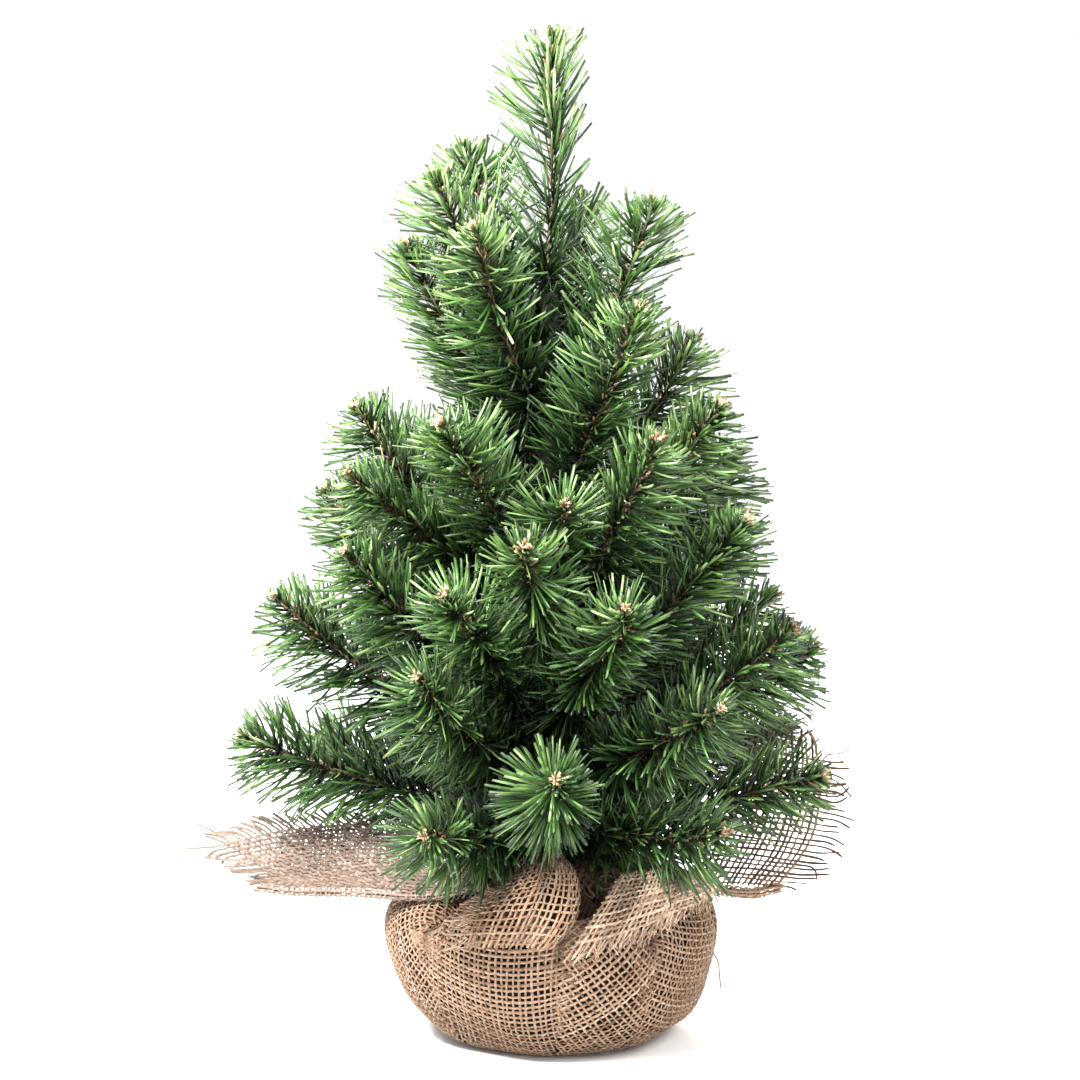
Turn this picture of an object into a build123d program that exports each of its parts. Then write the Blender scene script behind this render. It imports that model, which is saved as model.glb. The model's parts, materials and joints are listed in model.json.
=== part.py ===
"""An artificial tabletop tree with its base wrapped in burlap.

Units are millimetres. +Z is up and the origin is the centre of the flat bottom, on the table.
An azimuth of 0 degrees points to the front (-Y) and +90 degrees to the right (+X).
"""

from build123d import *
from collections import namedtuple
from math import cos, radians, sin, tan
import os

# ---- driving dimensions ----
leader_tip_height = 446

rod_radius = 1.5
rod_foot_height = 12
trunk_top_height = 332
tail_radius = 0.55
tail_length = 22
tape_inner_radius = 2.9
tape_outer_radius = 4.5
tape_bottom_height = 84

wire_radius = 0.9
root_radius = 5.8  # where a branch leaves the trunk, clear of the tape even when it is steep
bare_root = 14  # wire without needles next to the trunk
core_root_radius = 1.9
core_radius = 4.6  # the dense inner part of the needles
core_growth = 35  # along which the core widens
core_nose = 7  # along which it closes again at the tip
core_bore_clearance = 0.05

pot_wall = 2.2
pot_side = [(39, 0), (51, 10), (61, 24), (65.5, 40), (66, 54)]  # (outer radius, height above its underside)
pot_height = 54
pot_rim_radius = 68.6
pot_rim_depth = 4
ballast_height = 30
ballast_gap = 0.1

cloth = 1.3  # thickness of the burlap
pot_clearance = 0.4
bag_base_radius = 42
bag_radius = 74
bag_widest_height = 47
bag_shoulder_radius = 69
bag_shoulder_height = 63
neck_radius = 12
neck_inner_radius = 5.4
neck_bottom_height = 77
neck_top_height = 86
tie_height = 79.9
tie_top_height = 82.6
tie_radius = 1.2
tie_turns = 2

# ---- the branches: one wire each, all bound to the trunk ----
# root_height and tip_height are above the table, tip_reach is from the trunk's axis, and bow is
# how many degrees the wire turns up from its straight line at the tip, and down at the root.
Branch = namedtuple("Branch", "azimuth root_height tip_reach tip_height bow")

lowest_ring = [
    Branch(-88, 98, 136, 136, 6),
    Branch(-27, 92, 120, 111, 4),
    Branch(2, 101, 124, 139, 5),
    Branch(43, 94, 110, 107, 4),
    Branch(85, 97, 122, 119, 5),
    Branch(122, 100, 128, 132, 5),
    Branch(158, 93, 124, 118, 5),
    Branch(-165, 99, 130, 138, 5),
    Branch(-125, 94, 128, 122, 5),
]
second_ring = [
    Branch(-82, 116, 121, 200, 6),
    Branch(-30, 118, 115, 178, 7),
    Branch(38, 114, 118, 164, 6),
    Branch(72, 112, 111, 190, 8),
    Branch(117, 124, 115, 192, 6),
    Branch(94, 120, 119, 174, 6),
    Branch(145, 113, 120, 176, 6),
    Branch(-178, 120, 118, 186, 6),
    Branch(-132, 115, 118, 180, 6),
]
third_ring = [
    Branch(-22, 142, 113, 214, 6),
    Branch(17, 140, 113, 209, 6),
    Branch(-5, 164, 103, 235, 5),
    Branch(-54, 136, 108, 227, 5),
    Branch(-106, 148, 103, 243, 6),
    Branch(55, 148, 104, 240, 5),
    Branch(130, 152, 106, 226, 6),
    Branch(168, 145, 106, 222, 6),
    Branch(-152, 142, 106, 230, 6),
]
fourth_ring = [
    Branch(-62, 195, 98, 258, 4),
    Branch(-86, 182, 84, 283, 6),
    Branch(-33, 206, 84, 284, 5),
    Branch(5, 196, 84, 251, 3),
    Branch(112, 180, 93, 259, 7),
    Branch(62, 190, 83, 288, 8),
    Branch(30, 178, 88, 277, 9),
    Branch(152, 188, 88, 268, 6),
    Branch(-160, 182, 88, 276, 6),
    Branch(-125, 190, 88, 268, 6),
]
top_rings = [
    Branch(98, 222, 65, 312, 7),
    Branch(40, 238, 60, 331, 6),
    Branch(-93, 262, 63, 353, 6),
    Branch(170, 230, 66, 318, 6),
    Branch(-135, 236, 66, 322, 6),
    Branch(-42, 278, 49, 364, 6),
    Branch(74, 272, 48, 374, 4),
    Branch(-72, 300, 53, 386, 4),
    Branch(-125, 314, 46, 396, 3),
    Branch(160, 290, 46, 372, 4),
]
branches = lowest_ring + second_ring + third_ring + fourth_ring + top_rings


def outward(azimuth):
    """The level direction that an azimuth points in."""
    return Vector(sin(radians(azimuth)), -cos(radians(azimuth)), 0)


def upright_plane(azimuth):
    """The plane through the trunk whose x is outward at the azimuth and whose y is up."""
    side = outward(azimuth).cross(Vector(0, 0, 1))
    return Plane(origin=(0, 0, 0), x_dir=outward(azimuth), z_dir=side)


def bowed_wire(plane, root, tip, bow):
    """An arc from root to tip that bellies down from its straight line by the bow."""
    start, end = Vector(*root), Vector(*tip)
    along = end - start
    below = Vector(along.Y, -along.X).normalized()
    belly = below * (along.length / 2 * tan(radians(bow / 2)))
    return plane * ThreePointArc(start, start + along / 2 + belly, end)


def ring_at(path, distance, radius, side):
    """A disc across the wire, that far along it."""
    place = distance / path.length
    return Plane(origin=path @ place, x_dir=side, z_dir=path % place) * Circle(radius)


def needled_wire(path, side):
    """The wire and, from past its bare root, the core of needles that is wound into it."""
    wire = sweep(ring_at(path, 0, wire_radius, side), path=path)
    bore = sweep(ring_at(path, 0, wire_radius + core_bore_clearance, side), path=path)
    sections = [
        ring_at(path, bare_root, core_root_radius, side),
        ring_at(path, bare_root + core_growth / 2, (core_root_radius + core_radius) / 2, side),
        ring_at(path, bare_root + core_growth, core_radius, side),
        ring_at(path, path.length - core_nose, core_radius, side),
        ring_at(path, path.length - core_nose / 7, core_radius / 2, side),
    ]
    core = loft(sections, ruled=True) - bore
    return Compound(children=[wire.solid(), core.solid()])


def branch(shape):
    """One branch at rest."""
    plane = upright_plane(shape.azimuth)
    root = (root_radius, shape.root_height)
    tip = (shape.tip_reach, shape.tip_height)
    return needled_wire(bowed_wire(plane, root, tip, shape.bow), plane.z_dir)


def leader():
    """The upright tip on top of the trunk, which leans a little to the right."""
    plane = upright_plane(90)
    root = (-1, trunk_top_height + 1)
    tip = (2, leader_tip_height)
    return needled_wire(bowed_wire(plane, root, tip, 3), plane.z_dir)


def trunk_rod():
    """The steel rod that stands in the ballast and carries every branch."""
    return Pos(0, 0, rod_foot_height) * Cylinder(
        rod_radius,
        trunk_top_height - rod_foot_height,
        align=(Align.CENTER, Align.CENTER, Align.MIN),
    )


def branch_tails():
    """The end of each branch's wire, which lies down along the rod under the tape."""
    middle = (tape_inner_radius + rod_radius) / 2
    tail = Cylinder(tail_radius, tail_length, align=(Align.CENTER, Align.CENTER, Align.MAX))
    tails = []
    for shape in branches:
        foot = outward(shape.azimuth) * middle + Vector(0, 0, shape.root_height)
        near = [other for other in tails if (other.center() - (foot - Vector(0, 0, 11))).length < 1.2]
        if not near:
            tails.append((Pos(*foot) * tail).solid())
    return Compound(children=tails)


def trunk_tape():
    """The plastic tape wound over the rod and the wire ends."""
    height = trunk_top_height - tape_bottom_height
    low = (Align.CENTER, Align.CENTER, Align.MIN)
    tube = Cylinder(tape_outer_radius, height, align=low) - Cylinder(tape_inner_radius, height, align=low)
    return Pos(0, 0, tape_bottom_height) * tube


def turned(points):
    """The solid that an outline of (radius, height) points makes, turned round the trunk's axis."""
    face = make_face(Plane.XZ * Polyline(*points, close=True))
    return revolve(face, axis=Axis.Z)


def pot_radius(height):
    """The pot's outer radius at a height above its underside."""
    for (low_radius, low), (high_radius, high) in zip(pot_side, pot_side[1:]):
        if height <= high:
            return low_radius + (high_radius - low_radius) * (height - low) / (high - low)
    return pot_side[-1][0]


def pot_curve(low, high, inset):
    """Points up the pot's side from one height to another above its underside, moved in by inset."""
    heights = [low] + [height for _, height in pot_side if low < height < high] + [high]
    return [(pot_radius(height) - inset, pot_floor + height) for height in heights]


pot_floor = cloth + pot_clearance


def inner_pot():
    """The rounded plastic cup that holds the ballast, with a stiff rim turned out at its mouth."""
    rim_foot = pot_height - pot_rim_depth
    outside = pot_curve(0, rim_foot, 0)
    rim = [(pot_rim_radius, pot_floor + rim_foot), (pot_rim_radius, pot_floor + pot_height)]
    inside = pot_curve(pot_wall, pot_height, pot_wall)
    return turned([(0, pot_floor)] + outside + rim + inside[::-1] + [(0, pot_floor + pot_wall)])


def ballast_block():
    """The cement cast into the pot round the foot of the rod."""
    bottom = pot_wall + ballast_gap
    top = bottom + ballast_height
    side = pot_curve(bottom, top, pot_wall + ballast_gap)
    bore = [(rod_radius, side[-1][1]), (rod_radius, rod_foot_height), (0, rod_foot_height)]
    return turned([(0, side[0][1])] + side + bore)


def bag():
    """The round of the burlap, from under the pot up to the gathered neck."""
    outside = [
        (0, 0),
        (bag_base_radius, 0),
        (56, 10),
        (67, 25),
        (bag_radius, bag_widest_height),
        (bag_shoulder_radius + 2, bag_shoulder_height - 3),
        (bag_shoulder_radius - 8, bag_shoulder_height + 5),
        (40, neck_bottom_height - 4),
        (neck_radius, neck_bottom_height),
        (neck_radius, neck_top_height),
        (neck_inner_radius, neck_top_height),
    ]
    inside = [
        (neck_inner_radius, neck_bottom_height - cloth),
        (40, neck_bottom_height - 4 - cloth),
        (bag_shoulder_radius - 8, bag_shoulder_height + 5 - cloth),
        (bag_shoulder_radius + 2 - cloth, bag_shoulder_height - 3),
        (bag_radius - cloth, bag_widest_height),
        (67 - cloth, 25),
        (56 - cloth, 10 + cloth),
        (bag_base_radius, cloth),
        (0, cloth),
    ]
    return turned(outside + inside)


def front_flap():
    """The front corner of the burlap, folded over the shoulder and down the front."""
    half_width = 48
    outline = [
        (neck_radius - 1, tie_top_height),
        (neck_radius - 1, neck_top_height - 1),
        (34, neck_top_height - 1),
        (62, 79),
        (77, 66),
        (81, 48),
        (81 - cloth, 48),
        (77 - cloth, 65),
        (61, 77.5),
        (34, tie_top_height),
    ]
    face = make_face(Plane.XZ * Polyline(*outline, close=True))
    flap = revolve(face, axis=Axis.Z, revolution_arc=2 * half_width)
    return Rot(0, 0, -90 - half_width) * flap


def free_corner(azimuth, outline):
    """A corner of the burlap that stands out from the neck, from its (radius, height) outline."""
    face = make_face(upright_plane(azimuth) * Polyline(*outline, close=True))
    return extrude(face, amount=cloth / 2, both=True)


def burlap_wrap():
    """The one square of burlap: the bag round the pot, and its four corners past the neck."""
    low = [(neck_radius - 2, tie_top_height + 1), (neck_radius - 2, tie_top_height), (20, tie_top_height)]
    left = low + [(60, 74), (80, 64), (132, 65), (150, 74), (156, 88), (118, 95), (70, 90)]
    right = low + [(62, 72), (84, 61), (112, 66), (123, 84), (128, 118), (88, 118), (62, 92)]
    back = low + [(60, 73), (80, 62), (124, 60), (146, 70), (144, 82), (100, 88), (60, 86)]
    corners = [free_corner(-93, left), free_corner(106, right), free_corner(-178, back)]
    return bag() + front_flap() + corners


def neck_tie():
    """Two turns of twine that hold the burlap shut round the neck."""
    turns = []
    for turn in range(tie_turns):
        height = tie_height + (turn - (tie_turns - 1) / 2) * 2 * tie_radius
        turns.append((Pos(0, 0, height) * Torus(neck_radius + tie_radius, tie_radius)).solid())
    return Compound(children=turns)


def nodes():
    """Every sub-part under the name of its node."""
    made = {
        "burlap_wrap": burlap_wrap(),
        "neck_tie": neck_tie(),
        "inner_pot": inner_pot(),
        "ballast_block": ballast_block(),
        "trunk_rod": trunk_rod(),
        "branch_tails": branch_tails(),
        "trunk_tape": trunk_tape(),
        "leader": leader(),
    }
    for number, shape in enumerate(branches, start=1):
        made[f"branch_{number:02d}"] = branch(shape)
    return made


os.makedirs("parts", exist_ok=True)
for name, shape in nodes().items():
    export_step(shape, f"parts/{name}.step")
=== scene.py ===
"""The look of an artificial tabletop tree: needles, wires, buds and open-weave burlap, built round its
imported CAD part. Pieces and the camera are laid out in millimetres; meshes, materials, the floor and the
lamps are in metres.

An azimuth of 0 degrees points to the front (-Y) and +90 degrees to the right (+X), as in the CAD.
"""
import bpy
import json
import math
import numpy as np
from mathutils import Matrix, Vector


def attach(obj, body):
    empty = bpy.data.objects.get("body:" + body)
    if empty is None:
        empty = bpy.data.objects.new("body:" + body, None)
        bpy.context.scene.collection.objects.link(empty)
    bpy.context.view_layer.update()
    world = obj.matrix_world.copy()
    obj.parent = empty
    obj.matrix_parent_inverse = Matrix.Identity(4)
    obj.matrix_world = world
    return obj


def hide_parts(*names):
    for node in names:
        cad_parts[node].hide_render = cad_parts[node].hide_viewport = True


MM = 0.001
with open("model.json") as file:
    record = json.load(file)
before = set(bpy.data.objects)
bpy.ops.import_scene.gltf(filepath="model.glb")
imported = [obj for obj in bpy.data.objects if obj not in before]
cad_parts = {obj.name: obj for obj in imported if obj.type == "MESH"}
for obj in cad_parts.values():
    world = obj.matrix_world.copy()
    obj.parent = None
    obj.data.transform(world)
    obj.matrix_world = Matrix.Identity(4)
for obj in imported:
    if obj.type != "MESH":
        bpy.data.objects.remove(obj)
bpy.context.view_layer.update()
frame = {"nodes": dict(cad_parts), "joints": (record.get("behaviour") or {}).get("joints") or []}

# ---- camera (mm and degrees): it looks at PICTURE_MIDDLE, where the picture is PICTURE_SPAN wide ----
CAMERA_ELEVATION = 8
CAMERA_DISTANCE = 2200
PICTURE_SPAN = 476.5
PICTURE_MIDDLE = (-3.5, 0, 223.2)

# ---- needles: strips of plastic film, wound between the two strands of each wire (mm and degrees) ----
NEEDLE_LENGTH = 27.5
NEEDLE_WIDTH = 1.08
NEEDLE_THICKNESS = 0.22
NEEDLES_PER_MM = 4.6
NEEDLE_LEAN = (62, 44)  # from the wire, at the needle's base and at its end
NEEDLE_RINGS = 4
NEEDLE_DROOP = 0.0012
OFF_WIRE = 0.4  # from the wire's middle to a needle's base
FIRST_NEEDLE = 3
TIP_TAPER = 0.8  # near the tip, a needle's length is at most about its way to PAST_TIP over this
PAST_TIP = 2.5  # a place this far past the tip
PALE_SHARE = 0.08  # the share of needles that are pale
BARE_THINNING = 0.3  # the share of needles missing from a worn stretch
ROOT_NEEDLES = 70
ROOT_LENGTH = 14
COMBED_LENGTH = 0.12  # how much longer the needles are on the side that they were combed to
COMBED_LEAN = 12
BUNCHED_LEAN = 8
STRAND_RADIUS = 0.5
STRAND_PITCH = 7
BUD_SPACING = 6.5
TIP_BUDS = 9

# ---- the leader: longer and sparser needles, worn thin above its root ----
LEADER = dict(density=3.9, full_length=29, first=6, lean=(52, 34), root_angles=(55, 130), bare=(14, 50))

# ---- burlap (mm, and degrees for CLOTH_TURN) ----
THREAD_PITCH = 2.7
WEFT_WIDTH = 1.35
WARP_WIDTH = 1.0
THREAD_THICKNESS = 0.62
WEAVE_LIFT = 0.34  # how far a thread rises and falls over the others
CLOTH_TURN = -18  # how far the square of cloth is turned under the pot
CLOTH_LAYERS = 3
CREASE_DEPTH = 8.5
HOLLOW_DEPTH = 22

# ---- the places of the materials on a branch ----
NEEDLE_FILM = 0
BUD_FILM = 1
WIRE = 2


def unit(vectors):
    """The vectors, each made one long."""
    length = np.linalg.norm(vectors, axis=-1, keepdims=True)
    return vectors / np.maximum(length, 1e-9)


def mesh_object(name, points, quads, materials, which=None, tone=None, along=None):
    """A smooth mesh of quads from points in millimetres. which is each quad's material, by its place in
    materials; tone and along are numbers on each point that the materials read. On the needles tone also
    carries painted light and shade, and on some burlap pieces painted shade; on yarn, along is the painted
    shade of folds."""
    mesh = bpy.data.meshes.new(name)
    mesh.vertices.add(len(points))
    mesh.vertices.foreach_set("co", (np.asarray(points, float) * MM).ravel())
    mesh.loops.add(quads.size)
    mesh.loops.foreach_set("vertex_index", quads.ravel().astype(np.int32))
    mesh.polygons.add(len(quads))
    mesh.polygons.foreach_set("loop_start", np.arange(0, quads.size, 4, dtype=np.int32))
    mesh.polygons.foreach_set("loop_total", np.full(len(quads), 4, dtype=np.int32))
    for material in materials:
        mesh.materials.append(material)
    if which is not None:
        mesh.polygons.foreach_set("material_index", np.asarray(which, np.int32))
    mesh.update(calc_edges=True)
    mesh.polygons.foreach_set("use_smooth", np.ones(len(quads), bool))
    for label, values in (("tone", tone), ("along", along)):
        if values is not None:
            layer = mesh.attributes.new(label, "FLOAT", "POINT")
            layer.data.foreach_set("value", np.asarray(values, np.float32))
    mesh.validate()
    made = bpy.data.objects.new(name, mesh)
    bpy.context.scene.collection.objects.link(made)
    return made


class Bundle:
    """Gathers strips and tubes into one mesh. Each is a run of rings with four or six corners."""

    def __init__(self):
        self.points, self.quads, self.which, self.tone, self.along = [], [], [], [], []
        self.count = 0

    def add(self, rings, material=0, tone=0.5, along=None):
        """rings is runs x rings x corners x 3. Each run is closed at both ends."""
        runs, length, corners = rings.shape[:3]
        index = self.count + np.arange(runs * length * corners).reshape(runs, length, corners)
        after = np.roll(index, -1, axis=2)
        sides = np.stack([index[:, :-1], after[:, :-1], after[:, 1:], index[:, 1:]], axis=-1).reshape(-1, 4)
        if corners == 4:
            caps = [index[:, 0][:, ::-1], index[:, -1]]
        else:
            caps = [index[:, 0][:, [3, 2, 1, 0]], index[:, 0][:, [5, 4, 3, 0]]]
            caps += [index[:, -1][:, [0, 1, 2, 3]], index[:, -1][:, [0, 3, 4, 5]]]
        quads = np.concatenate([sides] + caps)
        total = runs * length * corners
        self.points.append(rings.reshape(-1, 3))
        self.quads.append(quads)
        self.which.append(np.full(len(quads), material))
        tone = np.broadcast_to(np.asarray(tone, float).reshape(-1, 1, 1), (runs, length, corners))
        along = np.linspace(0, 1, length) if along is None else np.asarray(along)
        along = np.broadcast_to(along.reshape(-1, length, 1), (runs, length, corners))
        self.tone.append(tone.ravel())
        self.along.append(along.ravel())
        self.count += total

    def object(self, name, materials):
        return mesh_object(
            name,
            np.concatenate(self.points),
            np.concatenate(self.quads),
            materials,
            np.concatenate(self.which),
            np.concatenate(self.tone),
            np.concatenate(self.along),
        )


def strip_rings(middle, across, face, half_width, half_thickness):
    """The rings of flat strips: middle, across and face are runs x rings x 3."""
    wide = across * half_width[..., None]
    thick = face * half_thickness[..., None]
    corners = [middle - wide - thick, middle + wide - thick, middle + wide + thick, middle - wide + thick]
    return np.stack(corners, 2)


def tube_rings(middle, normal, half_width, half_thickness, corners=6):
    """Rings of four or six corners round lines, runs x points x 3, flattened along each point's normal."""
    ahead = unit(np.gradient(middle, axis=1))
    across = unit(np.cross(ahead, normal))
    normal = np.cross(across, ahead)
    turns = np.arange(corners) * 2 * math.pi / corners
    wide = across[:, :, None] * (half_width[..., None] * np.cos(turns))[..., None]
    thick = normal[:, :, None] * (half_thickness[..., None] * np.sin(turns))[..., None]
    return middle[:, :, None] + wide + thick


# ---------------------------------------------------------------- materials
def material(name, build):
    """A material whose nodes build(tree) makes and links to its Principled shader."""
    made = bpy.data.materials.new(name)
    made.use_nodes = True
    build(made.node_tree, made.node_tree.nodes["Principled BSDF"])
    return made


def node(tree, kind, **values):
    """A shader node, with its properties and its unlinked inputs set."""
    made = tree.nodes.new(kind)
    for key, value in values.items():
        if key in made.inputs:
            made.inputs[key].default_value = value
        else:
            setattr(made, key, value)
    return made


def read(tree, label):
    """The number that the mesh carries under a label."""
    return node(tree, "ShaderNodeAttribute", attribute_name=label).outputs["Fac"]


def ramp(tree, value, stops):
    """Colours along a value, from stops of (place, colour)."""
    made = tree.nodes.new("ShaderNodeValToRGB")
    band = made.color_ramp
    while len(band.elements) < len(stops):
        band.elements.new(0.5)
    for element, (place, colour) in zip(band.elements, stops):
        element.position = place
        element.color = (*colour, 1)
    tree.links.new(value, made.inputs["Fac"])
    return made.outputs["Color"]


def mixed(tree, factor, first, second, how="MIX"):
    """Two colours mixed by a factor, which is a number or an output."""
    made = node(tree, "ShaderNodeMix", data_type="RGBA", blend_type=how)
    for slot, value in ((0, factor), (6, first), (7, second)):
        if hasattr(value, "links"):
            tree.links.new(value, made.inputs[slot])
        else:
            made.inputs[slot].default_value = value
    return made.outputs[2]


def noise(tree, scale, detail=3, stretch=(1, 1, 1)):
    """Noise in the piece's own coordinates, in metres times scale."""
    place = tree.nodes.new("ShaderNodeTexCoord")
    mapping = node(tree, "ShaderNodeMapping")
    mapping.inputs["Scale"].default_value = stretch
    tree.links.new(place.outputs["Object"], mapping.inputs["Vector"])
    made = node(tree, "ShaderNodeTexNoise", Scale=scale, Detail=detail)
    tree.links.new(mapping.outputs["Vector"], made.inputs["Vector"])
    return made.outputs["Fac"]


def number(tree, value, low, high):
    """A value from 0 to 1 spread from low to high."""
    made = node(tree, "ShaderNodeMapRange")
    made.inputs["To Min"].default_value = low
    made.inputs["To Max"].default_value = high
    tree.links.new(value, made.inputs["Value"])
    return made.outputs["Result"]


def bump(tree, shader, height, distance, strength=1.0):
    """A fine relief from a height."""
    made = node(tree, "ShaderNodeBump", Strength=strength, Distance=distance)
    tree.links.new(height, made.inputs["Height"])
    tree.links.new(made.outputs["Normal"], shader.inputs["Normal"])


def needle_nodes(tree, shader):
    """Green film: each needle has its own tone, which carries some painted light and shade, and painted
    shade darkens it where it leaves the wire; it is also a little darker at its end.
    """
    shade = ramp(tree, read(tree, "tone"), [
        (0.0, (0.003, 0.011, 0.002)),
        (0.12, (0.009, 0.027, 0.005)),
        (0.35, (0.036, 0.093, 0.017)),
        (0.7, (0.110, 0.208, 0.050)),
        (1.0, (0.33, 0.46, 0.21)),
    ])
    # painted shade: dark at the base of each needle by the wire, where the middle of the tree is in shadow; a
    # little darker at the end
    depth = ramp(tree, read(tree, "along"), [
        (0.0, (0.08, 0.08, 0.06)),
        (0.45, (0.62, 0.64, 0.62)),
        (0.8, (1, 1, 1)),
        (1.0, (0.42, 0.36, 0.32)),
    ])
    colour = mixed(tree, 1.0, shade, depth, "MULTIPLY")
    blotch = ramp(tree, noise(tree, 60), [(0.35, (0.85, 0.92, 0.95)), (0.65, (1.0, 1.0, 0.85))])
    colour = mixed(tree, 1.0, colour, blotch, "MULTIPLY")
    tree.links.new(colour, shader.inputs["Base Color"])
    tree.links.new(number(tree, noise(tree, 900), 0.32, 0.5), shader.inputs["Roughness"])
    shader.inputs["Specular IOR Level"].default_value = 0.4
    bump(tree, shader, noise(tree, 1500, stretch=(1, 1, 0.2)), 0.0002, 0.4)


def bud_nodes(tree, shader):
    """Dry brown and cream bits of film."""
    colour = ramp(tree, read(tree, "tone"), [
        (0.0, (0.060, 0.030, 0.014)),
        (0.5, (0.24, 0.135, 0.070)),
        (1.0, (0.60, 0.47, 0.31)),
    ])
    speck = ramp(tree, noise(tree, 1200), [(0.3, (0.7, 0.66, 0.6)), (0.7, (1, 1, 1))])
    tree.links.new(mixed(tree, 1.0, colour, speck, "MULTIPLY"), shader.inputs["Base Color"])
    shader.inputs["Roughness"].default_value = 0.55
    bump(tree, shader, noise(tree, 2000), 0.0003, 0.5)


def wire_nodes(tree, shader):
    """The twisted wire, lacquered olive brown and worn."""
    colour = ramp(tree, noise(tree, 500), [(0.3, (0.03, 0.028, 0.012)), (0.7, (0.10, 0.085, 0.035))])
    tree.links.new(colour, shader.inputs["Base Color"])
    tree.links.new(number(tree, noise(tree, 800), 0.35, 0.6), shader.inputs["Roughness"])
    shader.inputs["Metallic"].default_value = 0.25


def yarn_nodes(tree, shader, shades):
    """Jute yarn: each thread has its own shade, with flecks and fibres in it, and creases get painted shade.
    """
    colour = ramp(tree, read(tree, "tone"), shades)
    # painted shade in creases and folds, carried in along
    crease = ramp(tree, read(tree, "along"), [(0.0, (1, 1, 1)), (1.0, (0.30, 0.24, 0.20))])
    colour = mixed(tree, 1.0, colour, crease, "MULTIPLY")
    fleck = ramp(tree, noise(tree, 700, 6), [
        (0.3, (0.6, 0.52, 0.44)),
        (0.55, (1, 1, 1)),
        (0.8, (1.0, 0.97, 0.9)),
    ])
    patch = ramp(tree, noise(tree, 22, 2), [(0.3, (0.86, 0.83, 0.8)), (0.7, (1, 1, 1))])
    colour = mixed(tree, 1.0, colour, fleck, "MULTIPLY")
    tree.links.new(mixed(tree, 1.0, colour, patch, "MULTIPLY"), shader.inputs["Base Color"])
    shader.inputs["Roughness"].default_value = 0.88
    shader.inputs["Specular IOR Level"].default_value = 0.2
    shader.inputs["Sheen Weight"].default_value = 0.08
    shader.inputs["Sheen Roughness"].default_value = 0.5
    bump(tree, shader, noise(tree, 2600, 4, (1, 1, 1)), 0.0006, 0.8)


def burlap_nodes(tree, shader):
    """The tan yarn of most of the cloth."""
    yarn_nodes(tree, shader, [
        (0.0, (0.045, 0.022, 0.012)),
        (0.25, (0.160, 0.088, 0.050)),
        (0.5, (0.325, 0.212, 0.140)),
        (0.72, (0.300, 0.212, 0.150)),
        (1.0, (0.54, 0.415, 0.320)),
    ])


def painted_shade_burlap_nodes(tree, shader):
    """A darker, greyer copy of the burlap yarn for the corner that sticks out to the left: painted shade
    that tones down the strong light on its upturned face.
    """
    yarn_nodes(tree, shader, [
        (0.0, (0.070, 0.048, 0.036)),
        (0.25, (0.125, 0.090, 0.070)),
        (0.5, (0.200, 0.148, 0.120)),
        (1.0, (0.34, 0.26, 0.215)),
    ])


def pot_nodes(tree, shader):
    """Black moulded plastic with a faint grain."""
    colour = ramp(tree, noise(tree, 40), [(0.3, (0.0030, 0.0022, 0.0016)), (0.7, (0.0060, 0.0048, 0.0035))])
    tree.links.new(colour, shader.inputs["Base Color"])
    tree.links.new(number(tree, noise(tree, 300), 0.65, 0.85), shader.inputs["Roughness"])
    shader.inputs["Specular IOR Level"].default_value = 0.15
    bump(tree, shader, noise(tree, 1500), 0.0002, 0.4)


def cement_nodes(tree, shader):
    """Cast cement: grey, pitted and stained."""
    colour = ramp(tree, noise(tree, 90, 8), [(0.3, (0.24, 0.23, 0.21)), (0.7, (0.46, 0.45, 0.42))])
    tree.links.new(colour, shader.inputs["Base Color"])
    shader.inputs["Roughness"].default_value = 0.9
    bump(tree, shader, noise(tree, 600, 6), 0.001, 0.8)


def steel_nodes(tree, shader):
    """Drawn steel with streaks along it."""
    streak = noise(tree, 900, 3, (1, 1, 0.05))
    colour = ramp(tree, streak, [(0.3, (0.28, 0.27, 0.26)), (0.7, (0.5, 0.5, 0.49))])
    tree.links.new(colour, shader.inputs["Base Color"])
    tree.links.new(number(tree, streak, 0.3, 0.5), shader.inputs["Roughness"])
    shader.inputs["Metallic"].default_value = 1.0


def tape_nodes(tree, shader):
    """Brown tape wound up the trunk, with the edge of each turn showing; its near-black colour is partly
    painted shade for the dark middle of the tree.
    """
    place = tree.nodes.new("ShaderNodeTexCoord")
    mapping = node(tree, "ShaderNodeMapping")
    mapping.inputs["Rotation"].default_value = (math.radians(12), 0, 0)
    tree.links.new(place.outputs["Object"], mapping.inputs["Vector"])
    turns = node(tree, "ShaderNodeTexWave", Scale=35, Distortion=0.4, bands_direction="Z", wave_profile="SAW")
    tree.links.new(mapping.outputs["Vector"], turns.inputs["Vector"])
    # near black: the tape's own dark brown, darkened further as painted shade
    colour = ramp(tree, turns.outputs["Fac"], [
        (0.0, (0.005, 0.005, 0.003)),
        (0.2, (0.013, 0.012, 0.007)),
        (1.0, (0.022, 0.019, 0.011)),
    ])
    tree.links.new(colour, shader.inputs["Base Color"])
    tree.links.new(number(tree, noise(tree, 400), 0.35, 0.6), shader.inputs["Roughness"])
    bump(tree, shader, turns.outputs["Fac"], 0.0006, 0.8)


def twine_nodes(tree, shader):
    """Twisted jute twine."""
    twist = node(tree, "ShaderNodeTexWave", Scale=260, Distortion=2.0, bands_direction="DIAGONAL")
    place = tree.nodes.new("ShaderNodeTexCoord")
    tree.links.new(place.outputs["Object"], twist.inputs["Vector"])
    colour = ramp(tree, twist.outputs["Fac"], [(0.0, (0.13, 0.075, 0.035)), (1.0, (0.42, 0.28, 0.15))])
    tree.links.new(colour, shader.inputs["Base Color"])
    shader.inputs["Roughness"].default_value = 0.9
    bump(tree, shader, twist.outputs["Fac"], 0.001, 0.9)


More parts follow.
